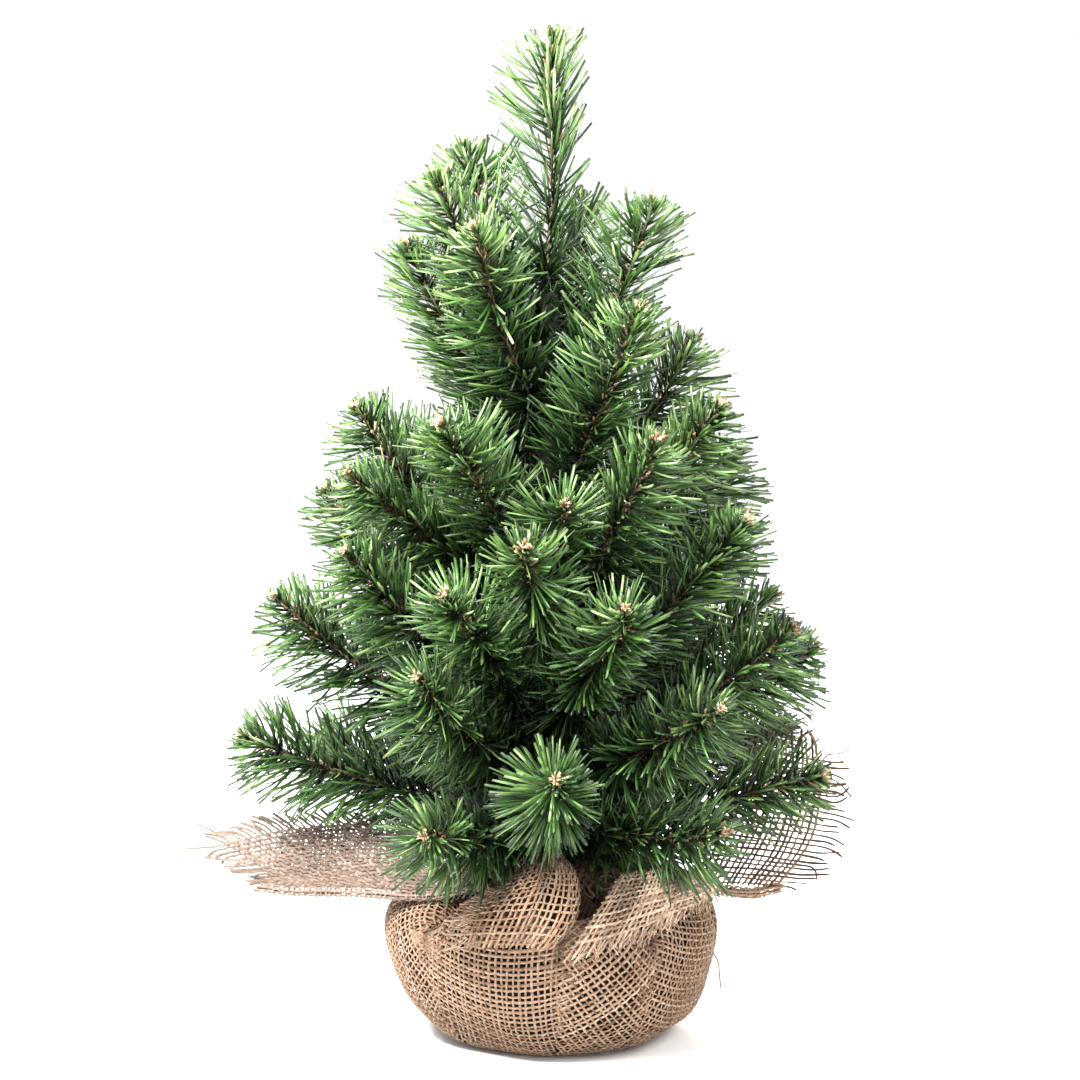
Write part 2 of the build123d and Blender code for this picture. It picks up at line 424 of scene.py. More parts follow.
def floor_nodes(tree, shader):
    """A plain white studio floor."""
    colour = ramp(tree, noise(tree, 2), [(0.3, (0.955, 0.955, 0.955)), (0.7, (0.97, 0.97, 0.97))])
    tree.links.new(colour, shader.inputs["Base Color"])
    shader.inputs["Roughness"].default_value = 0.8


needle_film = material("needle film", needle_nodes)
bud_film = material("bud film", bud_nodes)
wire_metal = material("twisted wire", wire_nodes)
burlap = material("burlap yarn", burlap_nodes)
# a darker, greyer copy of the burlap yarn: painted shade for the brightly lit left corner
painted_shade_burlap = material("faded burlap yarn", painted_shade_burlap_nodes)


# ---------------------------------------------------------------- branches
class Wire:
    """The middle line of a branch's wire, read from its CAD solids and its joint."""

    def __init__(self, name, joint):
        points = np.array([v.co for v in frame["nodes"][name].data.vertices]) / MM
        self.root = np.array(joint["pos_m"]) / MM
        self.side = unit(np.array(joint["axis"], float))
        far = np.linalg.norm(points - self.root, axis=1)
        self.tip = points[far > far.max() - 0.5].mean(axis=0)
        along = self.tip - self.root
        self.length = np.linalg.norm(along)
        self.ahead = along / self.length
        self.below = unit(np.cross(self.ahead, self.side))
        share = (points - self.root) @ self.ahead / self.length
        hump = share * (1 - share)
        offset = (points - self.root) @ self.below
        self.belly = (offset * hump).sum() / (hump ** 2).sum()

    def at(self, share, sway):
        """Points at shares of the length. sway is how far the line wanders, and when: (mm, phase) pairs."""
        share = np.asarray(share, float)
        line = self.root + np.multiply.outer(share, self.ahead * self.length)
        line = line + np.multiply.outer(self.belly * share * (1 - share), self.below)
        for direction, (size, phase) in zip((self.side, self.below), sway):
            wander = size * share * np.sin(2 * math.pi * (share * 1.3 + phase))
            line = line + np.multiply.outer(wander, direction)
        return line


def frames_along(line, side):
    """For points along a line: which way is ahead, and two directions square to it."""
    ahead = unit(np.gradient(line, axis=0))
    first = unit(np.cross(ahead, side))
    return ahead, first, np.cross(ahead, first)


def add_strips(bundle, dice, base, ahead, away, length, angles, width, thickness, which, tone, droop=0.0):
    """Strips of film that leave base at the first of two angles from ahead and bend to the second. away is
    square to ahead, and which is the place of their material."""
    start, end = angles
    share = np.linspace(0, 1, NEEDLE_RINGS)
    angle = start[:, None] + (end - start)[:, None] * share ** 0.8
    step = length[:, None] / (NEEDLE_RINGS - 1)
    heading = ahead[:, None] * np.cos(angle)[..., None] + away[:, None] * np.sin(angle)[..., None]
    steps = (heading[:, 1:] + heading[:, :-1]) / 2 * step[..., None]
    middle = base[:, None] + np.concatenate([np.zeros((len(base), 1, 3)), np.cumsum(steps, axis=1)], 1)
    middle[..., 2] -= droop * (length[:, None] * share) ** 2
    turn = dice.uniform(0, 2 * math.pi, len(base))[:, None] + dice.normal(0, 0.5, (len(base), 1)) * share
    sideways = unit(np.cross(heading, np.broadcast_to(ahead[:, None], heading.shape)))
    other = np.cross(sideways, heading)
    across = sideways * np.cos(turn)[..., None] + other * np.sin(turn)[..., None]
    face = np.cross(heading, across)
    narrowing = np.array([0.7, 1.0, 1.0, 0.9])[None] * width[:, None] / 2
    rings = strip_rings(middle, across, face, narrowing, np.full_like(narrowing, thickness / 2))
    bundle.add(rings, which, tone)


def branch_look(name, joint, seed, density=NEEDLES_PER_MM, full_length=NEEDLE_LENGTH, first=FIRST_NEEDLE,
                lean=NEEDLE_LEAN, root_angles=(60, 112), bare=(0, 0)):
    """The twisted wire, the needles and the buds of one branch, as one piece. bare is the stretch of the wire
    where needles are missing."""
    dice = np.random.default_rng(seed)
    wire = Wire(name, joint)
    sway = [(dice.uniform(-2.5, 2.5), dice.uniform()), (dice.uniform(-1.5, 1.5), dice.uniform())]
    bundle = Bundle()

    # needles
    count = int((wire.length - first) * density * (1.12 - wire.root[2] / 1000))
    place = np.sort(dice.uniform(first, wire.length - 0.5, count))
    thinned = (place > bare[0]) & (place < bare[1]) & (dice.uniform(0, 1, count) < BARE_THINNING)
    place = place[~thinned]
    count = len(place)
    line = wire.at(place / wire.length, sway)
    ahead, up, side = frames_along(line, wire.side)
    roll = dice.uniform(0, 2 * math.pi, count)
    away = up * np.cos(roll)[:, None] + side * np.sin(roll)[:, None]
    from_tip = wire.length - place
    combed = dice.uniform(0, 2 * math.pi)
    swept = np.cos(roll - combed)
    length = full_length * dice.normal(1.0, 0.06, count).clip(0.8, 1.12) * (1 + COMBED_LENGTH * swept)
    length = np.minimum(length, (from_tip + PAST_TIP) / TIP_TAPER * dice.uniform(0.85, 1.08, count))
    bunched = np.sin(3 * roll + place * 0.3 + combed)
    stray = dice.normal(0, 8.0, count) + COMBED_LEAN * swept + BUNCHED_LEAN * bunched
    near_tip = np.clip(1 - from_tip / 14, 0, 1)
    start = np.radians(lean[0] + stray - 12 * near_tip)
    end = np.radians(lean[1] + stray + dice.normal(0, 5, count) - 10 * near_tip)
    shade = dice.beta(2.0, 2.2, count)
    pale = dice.uniform(0, 1, count) < PALE_SHARE
    shade = np.where(pale, dice.uniform(0.8, 1.0, count), shade * 0.82)
    # painted shade and light: needles darker towards the trunk, where the middle of the tree is in shadow,
    # and brighter on higher branches, where more light falls
    shade *= 0.30 + 0.78 * np.clip(place / wire.length * 1.12, 0, 1)
    shade *= 0.64 + 2.6 * wire.root[2] / 1000
    width = NEEDLE_WIDTH * dice.normal(1.0, 0.12, count).clip(0.7, 1.3)
    add_strips(bundle, dice, line + away * OFF_WIRE, ahead, away, length, (start, end), width,
               NEEDLE_THICKNESS, NEEDLE_FILM, shade, NEEDLE_DROOP)

    # needles at the root, which stand out all ways and hide the trunk
    place = dice.uniform(1.0, ROOT_LENGTH, ROOT_NEEDLES)
    line = wire.at(place / wire.length, sway)
    ahead, up, side = frames_along(line, wire.side)
    roll = dice.uniform(0, 2 * math.pi, ROOT_NEEDLES)
    away = up * np.cos(roll)[:, None] + side * np.sin(roll)[:, None]
    start = np.radians(dice.uniform(*root_angles, ROOT_NEEDLES))
    length = dice.uniform(0.55, 0.95, ROOT_NEEDLES) * full_length
    width = np.full(ROOT_NEEDLES, NEEDLE_WIDTH)
    # painted shade: the root needles get dark tones, for the shadow in the middle of the tree
    shade = dice.uniform(0.0, 0.32, ROOT_NEEDLES)
    add_strips(bundle, dice, line + away * OFF_WIRE, ahead, away, length, (start, start - 0.2), width,
               NEEDLE_THICKNESS, NEEDLE_FILM, shade, NEEDLE_DROOP)

    # buds: rings of short brown bits along the outer wire, and a tuft at the tip
    rings = np.arange(2.0, min(wire.length - 25, 70), BUD_SPACING)
    tip_way = wire.at([1.0], sway)[0] - wire.at([0.97], sway)[0]
    for distance in rings:
        bits = int(dice.integers(3, 6))
        spot = wire.at(np.full(bits, 1 - (distance + dice.uniform(-1.5, 1.5, bits)) / wire.length), sway)
        ahead_bit = unit(np.tile(tip_way, (bits, 1)))
        first_side = unit(np.cross(ahead_bit, wire.side))
        turn = dice.uniform(0, 2 * math.pi, bits)
        out = first_side * np.cos(turn)[:, None] + np.cross(ahead_bit, first_side) * np.sin(turn)[:, None]
        lengths = dice.uniform(3.0, 7.0, bits)
        tones = dice.uniform(0.1, 0.85, bits) * (1 if distance < 40 else 0.6)
        start = np.radians(dice.uniform(25, 60, bits))
        end = np.radians(dice.uniform(10, 50, bits))
        add_strips(bundle, dice, spot + out * 0.5, ahead_bit, out, lengths, (start, end), np.full(bits, 1.2),
                   0.3, BUD_FILM, tones)
    spot = wire.at(np.full(TIP_BUDS, 1 - 0.8 / wire.length), sway)
    ahead_tip = unit(np.tile(tip_way, (TIP_BUDS, 1)))
    first_side = unit(np.cross(ahead_tip, wire.side))
    turn = np.arange(TIP_BUDS) * 2.4 + dice.uniform(0, 1)
    out = first_side * np.cos(turn)[:, None] + np.cross(ahead_tip, first_side) * np.sin(turn)[:, None]
    lengths = dice.uniform(2.6, 4.6, TIP_BUDS)
    start = np.radians(dice.uniform(20, 55, TIP_BUDS))
    end = np.radians(dice.uniform(0, 70, TIP_BUDS))
    tones = dice.uniform(0.45, 1.0, TIP_BUDS)
    add_strips(bundle, dice, spot, ahead_tip, out, lengths, (start, end), np.full(TIP_BUDS, 1.5),
               0.35, BUD_FILM, tones)

    # two strands twisted round each other, from the trunk to the tip
    steps = int(wire.length / 1.4)
    share = np.linspace(-1.4 / wire.length, 1, steps)
    line = wire.at(share, sway)
    ahead, up, side = frames_along(line, wire.side)
    for strand in (0, math.pi):
        twist = share * wire.length * 2 * math.pi / STRAND_PITCH + strand
        offset = up * np.cos(twist)[:, None] + side * np.sin(twist)[:, None]
        middle = (line + offset * STRAND_RADIUS * 0.9)[None]
        round_it = np.full((1, steps), STRAND_RADIUS)
        bundle.add(tube_rings(middle, offset[None], round_it, round_it), WIRE)
    piece = bundle.object(name + "_needled", [needle_film, bud_film, wire_metal])
    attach(piece, name)
    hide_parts(name)


def grow_tree():
    """Every branch and the leader, each from its own joint."""
    for order, joint in enumerate(frame["joints"]):
        name = joint["child"]
        if name == "leader":
            branch_look(name, joint, 900, **LEADER)
        else:
            branch_look(name, joint, 100 + order)


grow_tree()


# ---------------------------------------------------------------- burlap
def smooth_curve(points, count=200):
    """Many points on a smooth curve through a few, spread evenly by length."""
    points = np.asarray(points, float)
    padded = np.concatenate([[2 * points[0] - points[1]], points, [2 * points[-1] - points[-2]]])
    spans = []
    share = np.linspace(0, 1, 24, endpoint=False)[:, None]
    for a, b, c, d in zip(padded[:-3], padded[1:-2], padded[2:-1], padded[3:]):
        spans.append(0.5 * (2 * b + (c - a) * share + (2 * a - 5 * b + 4 * c - d) * share ** 2
                            + (3 * b - a - 3 * c + d) * share ** 3))
    line = np.concatenate(spans + [points[-1:]])
    length = np.concatenate([[0], np.cumsum(np.linalg.norm(np.diff(line, axis=0), axis=1))])
    even = np.linspace(0, length[-1], count)
    return np.stack([np.interp(even, length, line[:, k]) for k in range(line.shape[1])], 1), length[-1]


def on_curve(points):
    """A function from shares, which may run a little past 0 and 1, to points on a curve through a few."""
    line, _ = smooth_curve(points)

    def at(share):
        share = np.asarray(share, float)
        inside = np.clip(share, 0, 1) * (len(line) - 1)
        low = np.minimum(inside.astype(int), len(line) - 2)
        found = line[low] + (line[low + 1] - line[low]) * (inside - low)[..., None]
        step = (len(line) - 1) / 8
        before = np.minimum(share, 0)[..., None] * (line[8] - line[0]) * step
        after = np.maximum(share - 1, 0)[..., None] * (line[-1] - line[-9]) * step
        return found + before + after

    return at


def thread(bundle, dice, points, normals, width, tone, corners=6, crease=0):
    """One yarn: a flattened tube whose width comes and goes. crease is painted shade, 1 at the bottom
    of a crease.
    """
    count = len(points)
    crease = np.broadcast_to(np.asarray(crease, float), count)
    place = np.arange(count)
    slub = 1 + 0.13 * np.sin(place * dice.uniform(0.15, 0.4) + dice.uniform(0, 6))
    slub = slub + dice.normal(0, 0.05, count)
    slub[[0, -1]] *= 0.5
    half = (width / 2 * slub * dice.normal(1, 0.09))[None]
    flat = np.full((1, count), THREAD_THICKNESS / 2)
    shade = tone + dice.normal(0, 0.13)
    shade = float(np.clip(shade, 0.02, 0.98))
    bundle.add(tube_rings(points[None], normals[None], half, flat, corners), 0, shade, crease)


def surface_normals(place, u, v, sign):
    """Which way the cloth faces at its points."""
    step = 0.5
    along = place(u + step, v) - place(u - step, v)
    across = place(u, v + step) - place(u, v - step)
    return unit(np.cross(along, across)) * sign


def weave(bundle, dice, place, size, frayed="", fringe=(4, 9), widths=(WEFT_WIDTH, WARP_WIDTH),
          pitch=THREAD_PITCH, tone=0.5, sign=1, lift=WEAVE_LIFT, crease=None):
    """Both sets of threads of a cloth of size (u, v) that place(u, v) puts in space. frayed names the sides
    (u-, u+, v-, v+) where the cross threads are gone and the others hang free. crease(u, v) is the painted
    shade of the cloth's folds, from 0 to 1."""
    for way in (0, 1):
        long_size, wide_size = size[way], size[1 - way]
        own, other = ("uv", "vu")[way]
        first = pitch * (1.4 if other + "-" in frayed else 0.5)
        last = wide_size - pitch * (1.4 if other + "+" in frayed else 0.5)
        for index, offset in enumerate(np.arange(first, last + 0.01, pitch)):
            start = -dice.uniform(*fringe) if own + "-" in frayed else 0
            end = long_size + (dice.uniform(*fringe) if own + "+" in frayed else 0)
            along = np.arange(math.floor(start * 2 / pitch), math.ceil(end * 2 / pitch) + 1) * pitch / 2
            along = np.clip(along, start, end)
            sway = 0.11 * pitch * np.sin(along * dice.uniform(0.1, 0.25) + dice.uniform(0, 6))
            across = offset + sway + dice.normal(0, 0.06 * pitch)
            loose = np.clip(np.maximum(-along, along - long_size), 0, None)
            across = across + dice.normal(0, 0.035) * loose ** 2
            u, v = (along, across) if way == 0 else (across, along)
            u, v = np.broadcast_arrays(u, v)
            points = place(u, v)
            normals = surface_normals(place, u, v, sign)
            phase = math.pi * (along / pitch + index) + (0 if way == 0 else math.pi)
            held = np.clip(1 - loose / 2, 0, 1)
            height = lift * np.cos(phase) * held + dice.normal(0, 0.02) * loose ** 2
            points = points + normals * height[:, None]
            points[:, 2] -= 0.008 * loose ** 2
            # painted shade of the folds, handed to the yarn as along
            depth = np.clip(crease(u, v), 0, 1) if crease else 0
            thread(bundle, dice, points, normals, widths[way], tone, crease=depth)


# the bag's profile, from the middle of its underside to the neck, and the pot's side: (radius, height)
BAG_PROFILE = [
    (0, 0.6), (39, 0.6), (54, 7.5), (66, 22), (73, 45),
    (70.5, 60), (59, 69), (40, 74.5), (13, 77.5),
]
POT_SIDE = [(39, 1.7), (51, 11.7), (61, 25.7), (65.5, 41.7), (68.8, 50.5), (68.8, 56.5)]
POT_RADII, POT_HEIGHTS = zip(*POT_SIDE)
# the azimuths of the creases
CREASES = [-142, -97, -50, 4, 38, 84, 128, 174]
bag_line, bag_length = smooth_curve(BAG_PROFILE, 400)
bag_slope = unit(np.gradient(bag_line, axis=0))


def front_hollow(rho, azimuth):
    """How far into the hollow beside the front corner a place on the bag is, from 0 to 1."""
    return np.exp(-((azimuth - 12) / 21) ** 2 - ((rho - 143) / 15) ** 2)


def bag_place(rho, azimuth, inset):
    """Points on the bag, and which way it faces there: rho is the way along its profile, inset is how far in
    from its surface."""
    spot = np.clip(rho / bag_length, 0, 1) * (len(bag_line) - 1)
    low = np.minimum(spot.astype(int), len(bag_line) - 2)
    part = (spot - low)[..., None]
    profile = bag_line[low] * (1 - part) + bag_line[low + 1] * part
    slope = bag_slope[low]
    angle = np.radians(azimuth)
    out = np.stack([np.sin(angle), -np.cos(angle), np.zeros_like(angle)], -1)
    facing = out * slope[..., 1:2]
    facing[..., 2] = -slope[..., 0]
    side = np.clip((rho - 38) / 25, 0, 1)
    bulge = 1.3 * np.sin(3 * angle + 0.7) + 0.8 * np.sin(7 * angle + rho / 25) + 2.2 * np.cos(angle - 1.9)
    low_right = 3.0 * np.exp(-((rho - 62) / 16) ** 2) * np.clip(np.sin(angle - 0.3), 0, 1)
    hollow = HOLLOW_DEPTH * front_hollow(rho, azimuth)
    points = out * profile[..., :1]
    points[..., 2] = profile[..., 1]
    return points + facing * ((bulge + low_right) * side - hollow - inset)[..., None], facing


def outside_pot(points):
    """The points, moved out to where the cloth rests on the pot and its rim."""
    least = np.interp(points[..., 2], POT_HEIGHTS, POT_RADII, right=0)
    reach = np.hypot(points[..., 0], points[..., 1])
    grow = np.maximum(1, (least + 1.0) / np.maximum(reach, 1))
    grow = np.where((points[..., 2] > POT_HEIGHTS[0]) & (reach > 30), grow, 1)
    return points * np.stack([grow, grow, np.ones_like(grow)], -1)


def bag_threads(bundle, dice, way, width):
    """One set of the bag's threads. The flat cloth is a disc whose radius is the length of the bag's profile,
    so there is more of it round the shoulder than the bag has room for. Between two creases it lies on the
    bag; the rest goes on under the neighbour past the crease and back again, in up to CLOTH_LAYERS layers."""
    reach = math.ceil(bag_length / THREAD_PITCH)
    bounds = CREASES + [CREASES[0] + 360]
    turn = math.radians(CLOTH_TURN)
    along = np.arange(-reach, reach + 1) * THREAD_PITCH
    for low, high in zip(bounds[:-1], bounds[1:]):
        middle, half = math.radians(low + high) / 2, math.radians(high - low) / 2
        for index in range(-reach, reach + 1):
            offset = index * THREAD_PITCH + dice.normal(0, 0.16)
            across = offset + 0.3 * np.sin(along * 0.09 + dice.uniform(0, 6))
            p, q = (along, across) if way == 0 else (across, along)
            rho = np.hypot(p, q)
            psi = np.arctan2(p, -q) + turn
            delta = (psi - middle + math.pi) % (2 * math.pi) - math.pi
            radius = np.interp(rho, np.linspace(0, bag_length, len(bag_line)), bag_line[:, 0])
            room = half * np.maximum(radius, 1)
            flat_way = np.abs(delta) * np.maximum(rho, 1)
            folded = np.where(flat_way > 2 * room, 4 * room - flat_way, flat_way)
            keep = (np.abs(delta) <= half) & (rho < bag_length) & (flat_way < CLOTH_LAYERS * room)
            local = np.sign(delta) * folded / np.maximum(radius, 1)
            fullness = rho / np.maximum(radius, 1)
            depth = np.clip(16 * (fullness - 1.08), 0, CREASE_DEPTH) * np.clip((rho - 104) / 10, 0.2, 1)
            edge = np.abs(room - folded)
            inset = depth * np.exp(-(edge / 3.8) ** 2)
            # painted shade: threads darker down the creases, most at the shoulder, and in the hollow beside
            # the front corner
            crease = np.maximum(np.clip(0.16 * depth, 0, 1), 0.9 * np.clip((rho - 97) / 9, 0, 1))
            crease = crease * np.exp(-(edge / 2.3) ** 2)
            crease = np.maximum(crease, 0.95 * front_hollow(rho, np.degrees(middle + local)))
            inset -= 1.6 * np.clip(fullness - 1, 0, 1) * np.clip(edge / 14, 0, 1)
            under = np.clip((flat_way - room) / 4, 0, 1) * np.where(delta > 0, 1.2, 2.1)
            inset += under + 0.9 * (flat_way > 2 * room)
            points, facing = bag_place(rho, np.degrees(middle + local), inset)
            phase = math.pi * (along / THREAD_PITCH + index) + way * math.pi
            points = outside_pot(points) + facing * (WEAVE_LIFT * np.cos(phase))[:, None]
            starts = np.flatnonzero(np.diff(np.concatenate([[0], keep.astype(int), [0]])))
            for first, last in zip(starts[::2], starts[1::2]):
                if last - first >= 2:
                    part = slice(first, last)
                    thread(bundle, dice, points[part], facing[part], width, 0.5, 4, crease[part])


def burlap_piece(name, bundle, yarn=burlap):
    """A bundle of threads made into a piece that stays with the base."""
    piece = bundle.object(name, [yarn])
    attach(piece, "base")
    return piece


def flat_size(*patches):
    """One oblong as long as the longest of a piece's flat patches and with the area of them all."""
    length = max(patch[0] for patch in patches)
    return length, sum(patch[0] * patch[1] for patch in patches) / length


def tufts(bundle, dice, place, low, high, way, count, tone):
    """Short fibres that stand out of a hem. They start at cloth places from low to high and run along way."""
    for _ in range(count):
        share = dice.uniform()
        start = np.array(low) + (np.array(high) - np.array(low)) * share - np.array(way) * dice.uniform(0, 4)
        turn = np.array([way[1], way[0]]) * dice.normal(0, 0.35)
        spots = start + np.outer(np.linspace(0, dice.uniform(5, 9), 5), np.array(way) + turn)
        points = place(spots[:, 0], spots[:, 1])
        points = points + np.outer(np.linspace(0, 1, 5) ** 2, dice.normal(0, 1.2, 3) + [0, -1.2, 0.3])
        normals = np.tile([0.0, -0.8, 0.6], (5, 1))
        thread(bundle, dice, points, normals, 0.5, tone, 4)


def between(first, second, size, bulge=0, toward=(0, -1, 0.3), end_bulge=0.5):
    """A surface from one edge curve to another. u runs along them and v from the first to the second."""
    low, high = on_curve(first), on_curve(second)
    toward = unit(np.array(toward, float))

    def place(u, v):
        along, across = u / size[0], v / size[1]
        points = low(along) * (1 - across)[..., None] + high(along) * across[..., None]
        lengthways = end_bulge + (1 - end_bulge) * np.sin(math.pi * np.clip(along, 0, 1))
        swell = np.sin(math.pi * np.clip(across, 0, 1)) * lengthways
        return points + toward * (bulge * swell)[..., None]

    return place


def rippled(place, size, height, length, phase=0.0, toward=(0, -1, 0.4)):
    """The surface with a few soft folds across it, larger towards its far side."""
    toward = unit(np.array(toward, float))

    def moved(u, v):
        grow = 0.3 + 0.7 * v / size[1]
        wave = height * grow * np.sin(2 * math.pi * u / length + phase + 0.02 * v)
        return place(u, v) + toward * wave[..., None]

    return moved


def rolled(edge, size, radius, down=(0, 0, -1), front=(0, -1, 0)):
    """The rolled lower edge of a cloth: u along the edge, v round the roll."""
    line = on_curve(edge)
    down, front = unit(np.array(down, float)), unit(np.array(front, float))

    def place(u, v):
        angle = v / radius
        spiral = radius * (1 - 0.12 * angle)
        way = front * (np.sin(angle) * spiral)[..., None] + down * ((1 - np.cos(angle)) * spiral)[..., None]
        return line(u / size[0]) + way

    return place


def left_corner():
    """Stands out nearly level, frayed along its top and its end, with its lower edge rolled."""
    dice = np.random.default_rng(41)
    bundle = Bundle()
    low = [(-28, -34, 78), (-52, -29, 71.5), (-85, -20, 71), (-112, -15, 70.5), (-138, -9, 73)]
    high = [(-30, 2, 88), (-60, 4, 94), (-90, 5, 96.5), (-122, 4, 94), (-153, 0, 88)]
    whole = (118, 46)
    slant = 0.55
    flat = rippled(between(low, high, whole, 5), whole, 2.4, 44, 0.6)
    size = (whole[0] - slant * whole[1], whole[1])

    def place(u, v):
        sag = 0.25 * np.clip(u - 40, 0, None) * np.sin(math.pi * np.clip(v / whole[1], 0, 1))
        return flat(u + slant * v, v - sag)

    # the lower tone and the greyer yarn of this corner are painted shade against the strong light on it
    weave(bundle, dice, place, size, "u+v+", (5, 11), widths=(1.5, 1.3), pitch=2.4, tone=0.47)
    behind_low = [(-50, -14, 72), (-75, -8, 69), (-98, -4, 69), (-116, 0, 71)]
    behind_high = [(-48, 16, 89), (-75, 19, 92), (-98, 19, 92), (-116, 17, 90)]
    behind = (66, 36)
    second = rippled(between(behind_low, behind_high, behind, 3), behind, 1.5, 37, 2.0)
    weave(bundle, dice, second, behind, "u+", (3, 7), pitch=2.4, tone=0.42)
    hem = (96, 15)
    edge = rolled(low[:4] + [(-126, -12, 71.5)], hem, 3.0)
    weave(bundle, dice, edge, hem, "u+", (2, 6), pitch=2.2, tone=0.6)
    made = burlap_piece("burlap_corner_left", bundle, painted_shade_burlap)
    return made, flat_size(size, behind, hem), "gathered", "burlap_bag"


def right_corner():
    """Stands up on the right, thin and open, frayed down its outer side and along its top."""
    dice = np.random.default_rng(42)
    bundle = Bundle()
    inner = [(62, 14, 66), (70, 22, 84), (79, 28, 106), (84, 32, 130)]
    outer = [(107, 30, 60), (121, 34, 75), (128, 36, 96), (126, 38, 122)]
    size = (72, 50)
    place = rippled(between(inner, outer, size, 4), size, 1.5, 60, 1.2)
    # painted shade: this corner's yarn gets a near-black tone, for the shade on its backlit side
    weave(bundle, dice, place, size, "v+u+", (5, 11), widths=(1.2, 1.0), tone=0.04, lift=0.25)
    lower = [(62, 12, 67), (78, 18, 64.5), (92, 24, 62), (102, 28, 63)]
    hem = (50, 20)
    weave(bundle, dice, rolled(lower, hem, 3.8), hem, "u+", (3, 8), tone=0.6)
    return burlap_piece("burlap_corner_right", bundle), flat_size(size, hem), "gathered", "burlap_bag"


def back_corner():
    """Hangs out at the back."""
    dice = np.random.default_rng(43)
    bundle = Bundle()
    low = [(20, 54, 70), (20, 90, 62), (14, 120, 58), (8, 138, 62)]
    high = [(-16, 50, 84), (-20, 90, 88), (-16, 118, 84), (-8, 146, 78)]
    size = (92, 44)
    place = rippled(between(low, high, size, 3, (1, 0, 0.5)), size, 3, 50, 0.4, (1, 0, 0.5))
    weave(bundle, dice, place, size, "u+v+", (4, 10), tone=0.5)
    return burlap_piece("burlap_corner_back", bundle), size, "gathered", "burlap_bag"


def front_lobe():
    """The front corner, folded down over the bag: a domed lobe that spreads to the left and whose right side
    is rolled in towards the hollow beside it."""
    dice = np.random.default_rng(44)
    bundle = Bundle()
    left = [(-10, -30, 88), (-20, -52, 80), (-34, -68, 69), (-39, -73, 54)]
    right = [(3, -34, 92), (16, -62, 85), (18, -79, 70), (8, -82, 55)]
    size = (54, 56)
    lobe = between(left, right, size, 13, (0.2, -1, 0.45))

    def curled(u, v):
        points = lobe(u, v)
        tuck = np.clip(v / size[1] - 0.78, 0, None) / 0.22
        points[..., 1] += 15 * tuck ** 1.7
        points[..., 0] -= 5 * tuck ** 2
        hem = np.clip(u / size[0] - 0.86, 0, None) / 0.14
        points[..., 1] += 5 * hem ** 2
        points[..., 1] += 8 * fold(u, v)
        return points

    def fold(u, v):
        """The fold that runs down the lobe and fades out near its hem."""
        across = v / size[1] - 0.44 - 0.1 * u / size[0]
        return np.exp(-(across / 0.09) ** 2) * np.clip(1.25 - u / size[0], 0, 1)

    # painted shade in the fold down the lobe and on its edge rolled in under it
    def painted_fold_shade(u, v):
        return 0.75 * fold(u, v) + np.clip(v / size[1] - 0.84, 0, None) / 0.16

    cloth = rippled(curled, size, 1.2, 30, 0.5)
    weave(bundle, dice, cloth, size, "v-", (5, 11), widths=(1.25, 1.0), pitch=2.75, tone=0.45, sign=-1,
          crease=painted_fold_shade)
    tufts(bundle, dice, cloth, (size[0] * 0.45, 0), (size[0], 0), (0, -1), 45, 0.85)
    return burlap_piece("burlap_front_lobe", bundle), size, "folded", "burlap_bag"


def collar():
    """The rest of the front corner, lying over the right shoulder, with a frayed and tufted hem."""
    dice = np.random.default_rng(47)
    bundle = Bundle()
    top = [(34, -44, 86), (47, -44, 87), (60, -36, 84), (71, -22, 80)]
    hem = [(9, -79, 55), (34, -75, 60), (58, -58, 67), (74, -34, 70)]
    size = (72, 36)
    lying = between(top, hem, size, 8, (0.3, -1, 0.7), 0.75)

    def turned(u, v):
        points = lying(u, v)
        lip = np.clip(1 - v / size[1] / 0.22, 0, None)
        points[..., 1] += 9 * lip ** 1.5
        points[..., 2] -= 5 * lip ** 2
        return points

    cloth = rippled(turned, size, 1.8, 24, 2.0)
    weave(bundle, dice, cloth, size, "v+", (2, 4.5), pitch=2.4, tone=0.88)
    tufts(bundle, dice, cloth, (0, size[1]), size, (0, 1), 60, 0.95)
    return burlap_piece("burlap_front_collar", bundle), size, "folded", "burlap_bag"


def ruffle():
    """The cloth gathered at the neck and standing out round it."""
    dice = np.random.default_rng(45)
    bundle = Bundle()
    size = (2 * math.pi * 34, 42)

    def place(u, v):
        angle = u / 34
        out = v - 7
        free = np.clip(out, 0, None)
        radius = 12.2 + free * (0.92 + 0.05 * np.sin(3 * angle)) + 0.7 * np.cos(17 * angle)
        height = 80.5 + np.clip(out, None, 0) - 0.07 * free
        height = height + 0.10 * free * np.sin(9 * angle + 1) + 1.6 * np.sin(free / 9)
        return np.stack([np.sin(angle) * radius, -np.cos(angle) * radius, height], -1)

    weave(bundle, dice, place, size, "v+", (3, 7), tone=0.45, sign=-1)
    return burlap_piece("burlap_ruffle", bundle), size, "gathered", "neck_tie"


def tucked_cloth():
    """More of the gathered cloth, folded in behind the right side and the back of the bag, in a darker tone
    that is painted shade.
    """
    bundle = Bundle()
    arc, radius, start = math.radians(138), 68, 46
    size = (arc * radius, 68)

    def place(u, v):
        points, _ = bag_place(start + v, 62 + np.degrees(u / radius), 4.2 + 0.7 * np.sin(u / 5))
        return outside_pot(points)

    weave(bundle, np.random.default_rng(48), place, size, tone=0.2)
    return burlap_piece("burlap_tucked", bundle), size, "folded", "inner_pot"


